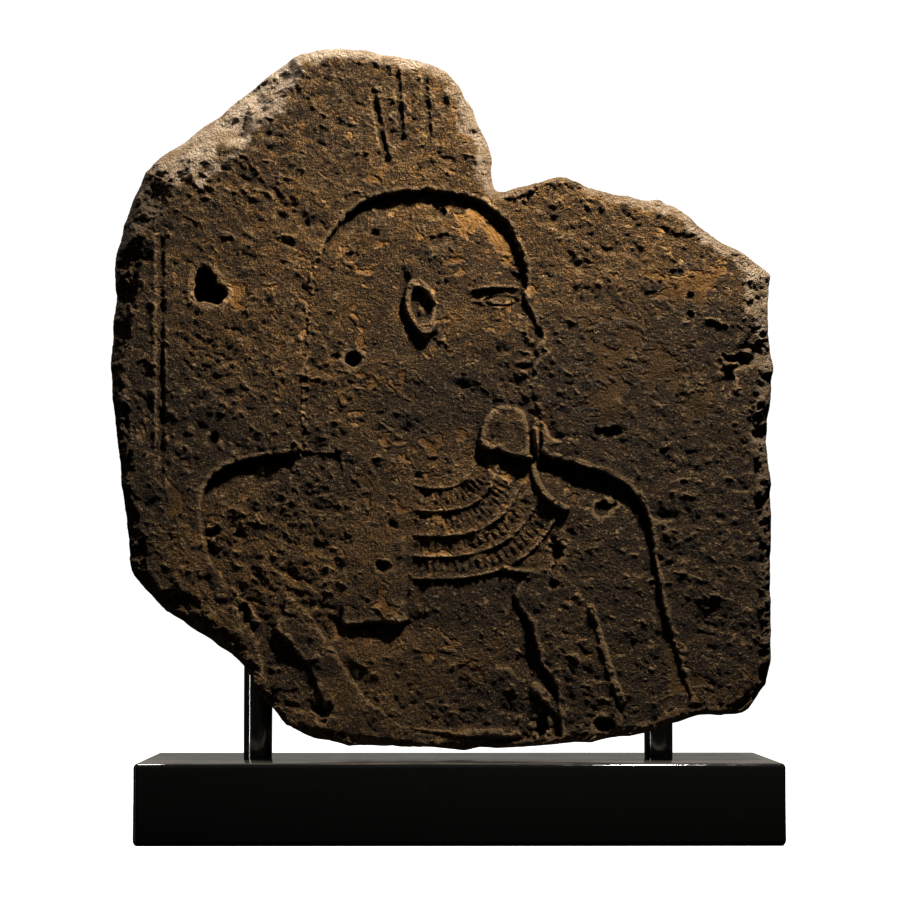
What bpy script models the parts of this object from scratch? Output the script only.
# Broken limestone slab with a sunk relief, standing on two steel rods in a black base.
# Metres, +Z up. The carved face looks along -Y, and the origin is under the middle of the base.

import math

import bmesh
import bpy
import numpy as np
from mathutils import Vector, noise

# Base block
BASE_WIDTH = 0.396
BASE_DEPTH = 0.150
BASE_HEIGHT = 0.050
BASE_EDGE_RADIUS = 0.0025

# Rods, upright in the base and pushed into holes drilled in the stone
ROD_DIAMETER = 0.018
ROD_SPACING = 0.2537
ROD_END_CHAMFER = 0.0010
ROD_LENGTH_IN_BASE = 0.025
ROD_LENGTH_IN_STONE = 0.055
FIT_GAP = 0.0003
CUTTER_OVERRUN = 0.020

# Slab: its lowest edge stands clear of the base
SLAB_HEIGHT = 0.442
SLAB_THICKNESS = 0.095
SLAB_CLEARANCE = 0.008
EDGE_BREAK_WIDTH = 0.032
EDGE_BREAK_DEPTH = 0.026
BACK_BREAK_WIDTH = 0.020
BACK_TAPER = 0.010
SMALLEST_BREAK = 0.004

# Carving
CUT_DEPTH = 0.0105
CUT_WALL = 0.0030
FIGURE_FLOOR = 0.0020
MODELLING_REACH = 0.024
LAPPET_RISE = 0.0010
BEAD_ROW_DROP = 0.0022
COLLAR_REACH = 0.016
STROKE_DEPTH = 0.0018
EAR_RISE = 0.0030
EYE_RISE = 0.0016
BROW_RISE = 0.0010
MOUTH_DROP = 0.0012
BEARD_RISE = 0.0035
WAIST_FOLD_RISE = 0.0050

# Roughness of the stone
FACE_ROUGHNESS = 0.0009
FACE_ROUGHNESS_SIZE = 0.045
BREAK_ROUGHNESS = 0.0042
BREAK_ROUGHNESS_SIZE = 0.060
EDGE_RAGGEDNESS = 0.0016
EDGE_RAGGEDNESS_SIZE = 0.014

# Mesh density
STONE_CELL = 0.0026
STONE_TRIANGLES = 8200
CURVE_STEPS = 6

COLORS = {
    "stone": ((0.21, 0.145, 0.085, 1.0), 0.85, 0.0),
    "steel": ((0.42, 0.42, 0.43, 1.0), 0.22, 1.0),
    "lacquer": ((0.008, 0.008, 0.008, 1.0), 0.22, 0.0),
}

# Places on the slab are in thousandths of its height: across from the middle of the base,
# and up from the slab's foot. The third value is the share of the full edge break.
OUTLINE = (
    (-188, 988, 0.3), (-161, 991, 0.3), (-101, 980, 0.3), (-41, 969, 0.3), (-7, 945, 0.45),
    (24, 894, 0.55), (44, 840, 0.6), (53, 786, 0.3), (95, 793, 0.2), (152, 805, 0.25),
    (192, 788, 0.3), (261, 774, 0.45), (295, 770, 0.5), (360, 721, 0.5), (437, 677, 0.7),
    (441, 648, 0.7), (438, 587, 0.6), (445, 545, 0.6), (446, 516, 0.5), (435, 430, 0.5),
    (441, 355, 0.4), (438, 249, 0.5), (438, 164, 0.45), (434, 97, 0.7), (396, 50, 0.6),
    (330, 44, 0.4), (279, 26, 0.35), (184, 9, 0.35), (29, -1, 0.4), (-90, 3, 0.45),
    (-181, 9, 0.45), (-233, 30, 0.5), (-273, 66, 0.5), (-301, 114, 0.6), (-358, 157, 0.7),
    (-418, 198, 0.7), (-455, 242, 0.7), (-465, 280, 0.6), (-475, 376, 0.6), (-491, 541, 0.8),
    (-488, 619, 0.8), (-487, 677, 0.8), (-474, 751, 0.8), (-452, 807, 0.9), (-440, 830, 1),
    (-383, 872, 1), (-306, 932, 1), (-252, 969, 0.7), (-227, 982, 0.4),
)

# Cut lines. The third value is the share of the full cutting depth.
CROWN = 784
CHIN_LEVEL = 476
FOREHEAD = 97
WIG_BACK_AND_CROWN = (
    (-223, 409, 0.3), (-221, 450, 0.15), (-220, 530, 0.15), (-217, 611, 0.15), (-203, 679, 0.3),
    (-177, 729, 0.5), (-134, 769, 0.6), (-78, 783, 0.62), (-13, 782, 0.62), (39, 765, 0.6),
    (73, 731, 0.6), (93, 683, 0.5),
)
# Face in shares of the head's height: down from the crown, and forward of the forehead.
FACE_PROFILE = (
    (0.43, 0.000), (0.49, -0.010), (0.60, 0.035), (0.67, 0.078), (0.715, 0.040),
    (0.77, 0.046), (0.81, 0.030), (0.85, 0.040), (0.89, 0.018), (0.95, 0.034),
)
FACE_CUT = 0.45
SHOULDER_FRONT = (
    (114, 470, 0.25), (118, 424, 0.4), (123, 410, 0.7), (163, 397, 1.0), (209, 382, 0.95),
    (245, 359, 0.75), (266, 321, 0.55), (276, 262, 0.45), (287, 201, 0.4), (303, 143, 0.35),
    (320, 88, 0.25), (332, 32, 0.15), (345, -40, 0.1),
)
SHOULDER_BACK = (
    (-262, 60, 0.2), (-284, 150, 0.25), (-309, 205, 0.3), (-349, 262, 0.2), (-363, 325, 0.2),
    (-358, 363, 0.5), (-330, 392, 0.65), (-277, 407, 0.7), (-225, 414, 0.5),
)
# Ground left standing between the parts of the figure
THROAT_GROUND = (
    (29, 431, 0.4), (40, 466, 0.2), (69, 480, 0.2), (92, 467, 0.25), (99, 419, 0.6),
    (98, 404, 0.75), (61, 414, 0.7), (33, 419, 0.6),
)
GROUND_BEHIND_WAIST = (
    (-240, 208, 0.05), (-214, 188, 0.2), (-175, 134, 0.35), (-136, 75, 0.35), (-94, 36, 0.3),
    (-58, -30, 0.2), (-172, -60, 0.2), (-178, 20, 0.3), (-206, 111, 0.25), (-240, 170, 0.2),
)
GROUND_BEFORE_WAIST = (
    (112, 250, 0.05), (78, 220, 0.25), (100, 156, 0.42), (127, 95, 0.42), (142, 39, 0.5),
    (160, -60, 0.3), (250, -60, 0.2), (224, 46, 0.2), (200, 123, 0.25), (180, 195, 0.22),
    (150, 238, 0.1),
)
LAPPET = (
    (-156, 440, 0.1), (-156, 360, 0.1), (-157, 241, 0.08), (-158, 199, 0.3), (-157, 176, 0.7),
    (-118, 175, 0.75), (-77, 176, 0.7), (-76, 199, 0.3), (-75, 304, 0.08), (-70, 440, 0.1),
)
LAPPET_TOP = 425
WIG_FOOT = ((-219, 414, 0.25), (-176, 412, 0.35), (-150, 412, 0.3))
BEARD_LINE = ((106, 445), (107, 413), (105, 395), (109, 375), (119, 357), (134, 343), (150, 335))
BEARD_WIDTH = 14
WAIST_FOLD = ((103, 84), (124, 72), (146, 52), (166, 29), (185, 4))
WAIST_FOLD_WIDTH = 24

# Broad collar: rows of beads round one centre, from the lappet to the front of the chest
COLLAR_CENTRE = (-44, 422)
COLLAR_ROWS = (64, 95, 130, 157, 192)
COLLAR_START = -98.0
COLLAR_END = -24.0

EAR_CENTRE = (-52, 618)
EAR_SIZE = (26, 51)
EAR_TILT = 8.0
EYE_LEVEL = 0.50
EYE_SIZE = (0.055, 0.020)
EYE_INSET = 0.14
BROW_LEVEL = 0.44
MOUTH_LEVEL = 0.81

# Cut strokes above the head and the border line at the back, each from end to end
STROKES = (
    ((-121, 925), (-101, 827)), ((-88, 962), (-79, 859)), ((-48, 962), (-41, 856)),
    ((-26, 953), (-19, 896)), ((-419, 713), (-416, 360)),
)
STROKE_WIDTH = 5

# Holes worn in the face: across, up, radius, depth in thousandths
HOLES = ((-354, 652, 23, 34), (-149, 548, 11, 14), (202, 335, 14, 12), (199, 40, 16, 14))


def smooth_line(points, closed=False):
    """Points of a Catmull-Rom curve through the given ones, all columns alike."""
    rows = np.array(points, dtype=float)
    if closed:
        ends = np.vstack((rows[-1], rows, rows[0], rows[1]))
    else:
        ends = np.vstack((2 * rows[0] - rows[1], rows, 2 * rows[-1] - rows[-2]))
    line = []
    for index in range(len(ends) - 3):
        a, b, c, d = ends[index:index + 4]
        for step in range(CURVE_STEPS):
            t = step / CURVE_STEPS
            line.append(b + 0.5 * t * (c - a + t * (2 * a - 5 * b + 4 * c - d
                                                    + t * (3 * (b - c) + d - a))))
    if not closed:
        line.append(rows[-1])
    return np.array(line)


def nearest_on_line(spots, line, closed=False):
    """Distance from each spot to a line, the third column there, and which side it lies on."""
    ends = np.roll(line, -1, axis=0) if closed else line[1:]
    starts = line if closed else line[:-1]
    best = np.full(len(spots), np.inf)
    value = np.zeros(len(spots))
    side = np.zeros(len(spots))
    for start, end in zip(starts, ends):
        run = end[:2] - start[:2]
        away = spots - start[:2]
        share = np.clip(away @ run / max(run @ run, 1e-9), 0.0, 1.0)
        gap = away - share[:, None] * run
        distance = np.hypot(gap[:, 0], gap[:, 1])
        closer = distance < best
        best[closer] = distance[closer]
        if len(start) > 2:
            value[closer] = (start[2] + share * (end[2] - start[2]))[closer]
        side[closer] = (run[0] * away[:, 1] - run[1] * away[:, 0])[closer]
    return best, value, np.sign(side)


def is_inside(spots, line):
    """Whether each spot lies inside a closed line."""
    inside = np.zeros(len(spots), dtype=bool)
    x, z = spots[:, 0], spots[:, 1]
    for start, end in zip(line, np.roll(line, -1, axis=0)):
        crosses = (start[1] > z) != (end[1] > z)
        if crosses.any():
            level = (z - start[1]) / (end[1] - start[1] + 1e-12)
            inside ^= crosses & (x < start[0] + level * (end[0] - start[0]))
    return inside


def ease(values):
    """Smooth step from 0 to 1."""
    share = np.clip(values, 0.0, 1.0)
    return share * share * (3.0 - 2.0 * share)


def recover(distance, reach=MODELLING_REACH):
    """Share of a cut's depth that is left at a distance from it."""
    return np.clip(1.0 - distance / reach, 0.0, 1.0) ** 2


def rough(spots, size, octaves, seed):
    """Fractal noise at three-dimensional spots in metres, about -1 to 1."""
    shift = Vector((seed * 7.31, seed * 3.17, seed * 5.73))
    return np.array([noise.fractal(Vector(spot) / size + shift, 1.0, 2.0, octaves)
                     for spot in spots])


def in_metres(line):
    """Slab places in thousandths made metres, shares left as they are."""
    scaled = np.array(line, dtype=float)
    scaled[:, :2] *= SLAB_HEIGHT / 1000.0
    return scaled


def thousandths(value):
    return value * SLAB_HEIGHT / 1000.0


def head_height():
    return CROWN - CHIN_LEVEL


def face_line():
    """The profile from the brow down to the chin, set out by shares of the head's height."""
    return [(FOREHEAD + forward * head_height(), CROWN - down * head_height(), FACE_CUT)
            for down, forward in FACE_PROFILE]


def figure_lines():
    """Front line of the figure from the wig's back to the front arm, and its back line."""
    front = smooth_line(WIG_BACK_AND_CROWN + tuple(face_line()) + SHOULDER_FRONT)
    back = smooth_line(SHOULDER_BACK)
    return in_metres(front), in_metres(back)


def sunk_figure(spots):
    """Depth of the sunk figure: cut down at its edge, then rising to its floor level."""
    front, back = figure_lines()
    figure = is_inside(spots, np.vstack((front, back)))
    reach = np.full(len(spots), np.inf)
    depth = np.zeros(len(spots))
    for line in (front, back):
        distance, share, _ = nearest_on_line(spots, line)
        closer = distance < reach
        reach[closer] = distance[closer]
        depth[closer] = share[closer]
    for ground in (THROAT_GROUND, GROUND_BEHIND_WAIST, GROUND_BEFORE_WAIST):
        edge = in_metres(smooth_line(ground, closed=True))
        distance, share, _ = nearest_on_line(spots, edge, closed=True)
        figure &= ~is_inside(spots, edge)
        closer = distance < reach
        reach[closer] = distance[closer]
        depth[closer] = share[closer]
    floor = FIGURE_FLOOR + np.maximum(depth * CUT_DEPTH - FIGURE_FLOOR, 0.0) * recover(reach)
    return np.where(figure, floor * ease(reach / CUT_WALL), 0.0), figure


def wig_and_lappet(spots):
    """The lappet stands above the chest, and the wig's foot above the shoulder."""
    edge = in_metres(smooth_line(LAPPET, closed=True))
    distance, share, _ = nearest_on_line(spots, edge, closed=True)
    inside = is_inside(spots, edge)
    fade = ease((thousandths(LAPPET_TOP) - spots[:, 1]) / MODELLING_REACH)
    drop = np.where(inside, 0.0, share * CUT_DEPTH * ease(distance / CUT_WALL) * recover(distance))
    rise = np.where(inside, LAPPET_RISE * ease(distance / CUT_WALL), 0.0)
    foot = in_metres(smooth_line(WIG_FOOT))
    distance, share, side = nearest_on_line(spots, foot)
    below = np.where(side < 0, share * CUT_DEPTH * ease(distance / CUT_WALL) * recover(distance),
                     0.0)
    return np.maximum(drop * fade, below * ~inside) - rise * fade


def band_rise(spots, points, width, rise):
    """A rounded band along a line."""
    line = in_metres(smooth_line([point + (0.0,) for point in points]))
    distance, _, _ = nearest_on_line(spots, line)
    return rise * ease(1.6 * (1.0 - distance / thousandths(width)))


def collar(spots):
    """Rows of beads, each a little lower than the row inside it."""
    centre = np.array([thousandths(value) for value in COLLAR_CENTRE])
    away = spots - centre
    radius = np.hypot(away[:, 0], away[:, 1])
    angle = np.degrees(np.arctan2(away[:, 1], away[:, 0]))
    fade = ease((angle - COLLAR_START) / 6.0) * ease((COLLAR_END - angle) / 6.0)
    drop = np.zeros(len(spots))
    for row in COLLAR_ROWS:
        beyond = radius - thousandths(row)
        drop += np.where(beyond > 0, ease(2 * beyond / CUT_WALL) * recover(beyond, COLLAR_REACH),
                         0.0)
    return BEAD_ROW_DROP * drop * fade


def ear(spots):
    """A raised oval rim with a hollow inside it."""
    centre = np.array([thousandths(value) for value in EAR_CENTRE])
    turn = math.radians(EAR_TILT)
    away = spots - centre
    across = (away[:, 0] * math.cos(turn) + away[:, 1] * math.sin(turn)) / thousandths(EAR_SIZE[0])
    up = (away[:, 1] * math.cos(turn) - away[:, 0] * math.sin(turn)) / thousandths(EAR_SIZE[1])
    ring = np.hypot(across * (1.0 - 0.25 * np.minimum(up, 0.0)), up)
    rim = np.exp(-((ring - 0.8) / 0.22) ** 2)
    hollow = np.exp(-(ring / 0.5) ** 2)
    return EAR_RISE * (rim - 0.5 * hollow)


def eye_and_mouth(spots):
    """A plain almond eye under a brow, and a level mouth, by shares of the head's height."""
    height = thousandths(head_height())
    crown = thousandths(CROWN)
    front = thousandths(FOREHEAD)
    across = (spots[:, 0] - (front - EYE_INSET * height)) / (EYE_SIZE[0] * height)
    up = (spots[:, 1] - (crown - EYE_LEVEL * height)) / (EYE_SIZE[1] * height)
    eye = np.exp(-(across ** 2 + up ** 2)) - 0.8 * np.exp(-(across ** 2 * 0.5 + (up / 2.2) ** 2))
    brow_up = (spots[:, 1] - (crown - BROW_LEVEL * height)) / (0.016 * height)
    brow = np.exp(-brow_up ** 2 - (across / 1.6) ** 2)
    lip_up = (spots[:, 1] - (crown - MOUTH_LEVEL * height)) / (0.010 * height)
    lip_across = (spots[:, 0] - front) / (0.09 * height)
    mouth = np.exp(-lip_up ** 2 - lip_across ** 2)
    return EYE_RISE * eye + BROW_RISE * brow - MOUTH_DROP * mouth


def strokes(spots):
    """Shallow straight cuts."""
    drop = np.zeros(len(spots))
    for ends in STROKES:
        line = in_metres([end + (0.0,) for end in ends])
        distance, _, _ = nearest_on_line(spots, line)
        drop = np.maximum(drop, ease(1.0 - distance / thousandths(STROKE_WIDTH)))
    return STROKE_DEPTH * drop


def holes(spots):
    """Round worn holes."""
    drop = np.zeros(len(spots))
    for across, up, radius, depth in HOLES:
        away = spots - np.array([thousandths(across), thousandths(up)])
        share = np.hypot(away[:, 0], away[:, 1]) / thousandths(radius)
        drop += thousandths(depth) * ease(1.35 - share)
    return drop


def carving_depth(spots):
    """How far the carved face lies behind the ground at each place on the slab."""
    depth, figure = sunk_figure(spots)
    detail = wig_and_lappet(spots) + collar(spots) - ear(spots) - eye_and_mouth(spots)
    detail -= band_rise(spots, BEARD_LINE, BEARD_WIDTH, BEARD_RISE)
    detail -= band_rise(spots, WAIST_FOLD, WAIST_FOLD_WIDTH, WAIST_FOLD_RISE)
    return depth + np.where(figure, detail, 0.0) + strokes(spots) + holes(spots)


def ragged_outline():
    """The slab's outline in metres from its foot, broken unevenly."""
    line = in_metres(smooth_line(OUTLINE, closed=True))
    ahead = np.roll(line, -1, axis=0)[:, :2] - np.roll(line, 1, axis=0)[:, :2]
    outward = np.column_stack((-ahead[:, 1], ahead[:, 0]))
    outward /= np.linalg.norm(outward, axis=1)[:, None]
    spots = np.column_stack((line[:, 0], np.zeros(len(line)), line[:, 1]))
    line[:, :2] += outward * (EDGE_RAGGEDNESS * rough(spots, EDGE_RAGGEDNESS_SIZE, 3, 1))[:, None]
    return line


def slab_foot():
    return BASE_HEIGHT + SLAB_CLEARANCE


def make_material(name, kind):
    material = bpy.data.materials.new(name)
    material.use_nodes = True
    color, roughness, metallic = COLORS[kind]
    shader = material.node_tree.nodes["Principled BSDF"]
    shader.inputs["Base Color"].default_value = color
    shader.inputs["Roughness"].default_value = roughness
    shader.inputs["Metallic"].default_value = metallic
    return material


def place(obj, collection, kind=None):
    for home in list(obj.users_collection):
        home.objects.unlink(obj)
    collection.objects.link(obj)
    if kind:
        obj.data.materials.clear()
        obj.data.materials.append(make_material(obj.name + "_finish", kind))


def hide_cutter(obj, collection):
    place(obj, collection)
    obj.hide_render = True
    obj.display_type = "WIRE"


def evaluated_mesh(obj):
    graph = bpy.context.evaluated_depsgraph_get()
    return bpy.data.meshes.new_from_object(obj.evaluated_get(graph), depsgraph=graph)


def outline_sheet(line):
    """The outline as a flat curve, filled and given the slab's thickness, made a closed mesh."""
    curve = bpy.data.curves.new("slab_outline", "CURVE")
    curve.dimensions = "2D"
    curve.fill_mode = "BOTH"
    curve.extrude = SLAB_THICKNESS / 2
    spline = curve.splines.new("POLY")
    spline.points.add(len(line) - 1)
    for point, spot in zip(spline.points, line):
        point.co = (spot[0], spot[1], 0.0, 1.0)
    spline.use_cyclic_u = True
    sheet = bpy.data.objects.new("slab_outline", curve)
    bpy.context.scene.collection.objects.link(sheet)
    sheet.rotation_euler.x = math.radians(90)
    bpy.context.view_layer.update()
    mesh = evaluated_mesh(sheet)
    mesh.transform(sheet.matrix_world)
    bpy.data.objects.remove(sheet)
    shell = bmesh.new()
    shell.from_mesh(mesh)
    bmesh.ops.remove_doubles(shell, verts=shell.verts, dist=0.00001)
    bmesh.ops.recalc_face_normals(shell, faces=shell.faces)
    shell.to_mesh(mesh)
    shell.free()
    return mesh


def carve(mesh, line):
    """Moves the remeshed slab's points to the broken edges, the carved face and the rough back."""
    count = len(mesh.vertices)
    spots = np.empty(count * 3)
    mesh.vertices.foreach_get("co", spots)
    spots = spots.reshape(count, 3).astype(float)
    flat = spots[:, [0, 2]]
    inset, break_share, _ = nearest_on_line(flat, line, closed=True)
    width = np.maximum(EDGE_BREAK_WIDTH * break_share, SMALLEST_BREAK)
    front_break = EDGE_BREAK_DEPTH * break_share * (
        1.0 - np.sqrt(1.0 - np.clip(1.0 - inset / width, 0.0, 1.0) ** 2))
    back_share = np.clip(1.0 - inset / BACK_BREAK_WIDTH, 0.0, 1.0)
    back_break = BACK_BREAK_WIDTH * (1.0 - np.sqrt(1.0 - back_share ** 2))
    ground = rough(spots, FACE_ROUGHNESS_SIZE, 4, 2)
    broken = rough(spots, BREAK_ROUGHNESS_SIZE, 3, 3)
    edge_share = np.clip(1.0 - inset / width, 0.0, 1.0)
    front = (-SLAB_THICKNESS / 2 + carving_depth(flat) + front_break
             + FACE_ROUGHNESS * ground + BREAK_ROUGHNESS * broken * edge_share * break_share)
    back = SLAB_THICKNESS / 2 - back_break + BREAK_ROUGHNESS * (broken - 0.6)
    through = np.clip(spots[:, 1] / SLAB_THICKNESS + 0.5, 0.0, 1.0)
    middle = line[:, :2].mean(axis=0)
    inward = middle - flat
    inward /= np.maximum(np.linalg.norm(inward, axis=1), 1e-6)[:, None]
    at_side = np.exp(-inset / (2.0 * STONE_CELL))
    taper = at_side * (BACK_TAPER * ease(through * 1.5 - 0.5)
                       + BREAK_ROUGHNESS * 0.5 * broken * ease(through * 4.0 - 0.8))
    spots[:, [0, 2]] += inward * taper[:, None]
    spots[:, 1] = front + through * (back - front)
    spots[:, 2] += slab_foot()
    mesh.vertices.foreach_set("co", np.round(spots, 6).ravel())
    mesh.update()


def underside_at(line, across):
    """Height above the slab's foot of its lowest edge at a distance across."""
    levels = []
    for start, end in zip(line, np.roll(line, -1, axis=0)):
        if (start[0] > across) != (end[0] > across):
            share = (across - start[0]) / (end[0] - start[0])
            levels.append(start[1] + share * (end[1] - start[1]))
    return min(levels)


def add_slab(line, collection):
    mesh = outline_sheet(line)
    slab = bpy.data.objects.new("relief_slab", mesh)
    bpy.context.scene.collection.objects.link(slab)
    remesh = slab.modifiers.new("even_cells", "REMESH")
    remesh.mode = "VOXEL"
    remesh.voxel_size = STONE_CELL
    slab.data = evaluated_mesh(slab)
    slab.modifiers.clear()
    carve(slab.data, line)
    triangles = sum(len(face.vertices) - 2 for face in slab.data.polygons)
    decimate = slab.modifiers.new("fewer_faces", "DECIMATE")
    decimate.ratio = STONE_TRIANGLES / triangles
    decimate.use_collapse_triangulate = True
    slab.data = evaluated_mesh(slab)
    slab.modifiers.clear()
    place(slab, collection, "stone")
    return slab


def cylinder(name, diameter, low, high, across):
    bpy.ops.mesh.primitive_cylinder_add(vertices=48, radius=diameter / 2, depth=high - low,
                                        location=(across, 0.0, (low + high) / 2))
    obj = bpy.context.object
    obj.name = name
    return obj


def cut(target, cutter):
    difference = target.modifiers.new("cut_" + cutter.name, "BOOLEAN")
    difference.operation = "DIFFERENCE"
    difference.solver = "EXACT"
    difference.object = cutter


def add_base(collection):
    bpy.ops.mesh.primitive_cube_add(size=1.0, location=(0.0, 0.0, BASE_HEIGHT / 2))
    base = bpy.context.object
    base.name = "base_block"
    base.scale = (BASE_WIDTH, BASE_DEPTH, BASE_HEIGHT)
    bpy.ops.object.transform_apply(location=False, rotation=False, scale=True)
    bevel = base.modifiers.new("rounded_edges", "BEVEL")
    bevel.width = BASE_EDGE_RADIUS
    bevel.segments = 3
    bevel.limit_method = "ANGLE"
    place(base, collection, "lacquer")
    return base


def add_rod(name, across, line, slab, base, collection, cutters):
    """A rod from its socket in the base to the top of its hole in the stone."""
    low = BASE_HEIGHT - ROD_LENGTH_IN_BASE
    high = slab_foot() + underside_at(line, across) + ROD_LENGTH_IN_STONE
    rod = cylinder(name, ROD_DIAMETER, low, high, across)
    bevel = rod.modifiers.new("chamfered_ends", "BEVEL")
    bevel.width = ROD_END_CHAMFER
    bevel.segments = 2
    bevel.limit_method = "ANGLE"
    bevel.angle_limit = math.radians(60)
    rod.data.shade_smooth()
    rod.data.set_sharp_from_angle(angle=math.radians(40))
    place(rod, collection, "steel")
    bore = ROD_DIAMETER + 2 * FIT_GAP
    socket = cylinder(name + "_socket", bore, low - FIT_GAP, BASE_HEIGHT + CUTTER_OVERRUN, across)
    hole_foot = slab_foot() + underside_at(line, across) - CUTTER_OVERRUN
    hole = cylinder(name + "_hole", bore, hole_foot, high + FIT_GAP, across)
    for cutter in (socket, hole):
        hide_cutter(cutter, cutters)
    cut(base, socket)
    cut(slab, hole)


def main():
    for obj in list(bpy.data.objects):
        bpy.data.objects.remove(obj)
    parts = bpy.data.collections.new("limestone_relief")
    cutters = bpy.data.collections.new("cutters")
    for collection in (parts, cutters):
        bpy.context.scene.collection.children.link(collection)
    line = ragged_outline()
    slab = add_slab(line, parts)
    base = add_base(parts)
    for name, side in (("rod_left", -1), ("rod_right", 1)):
        add_rod(name, side * ROD_SPACING / 2, line, slab, base, parts, cutters)


main()
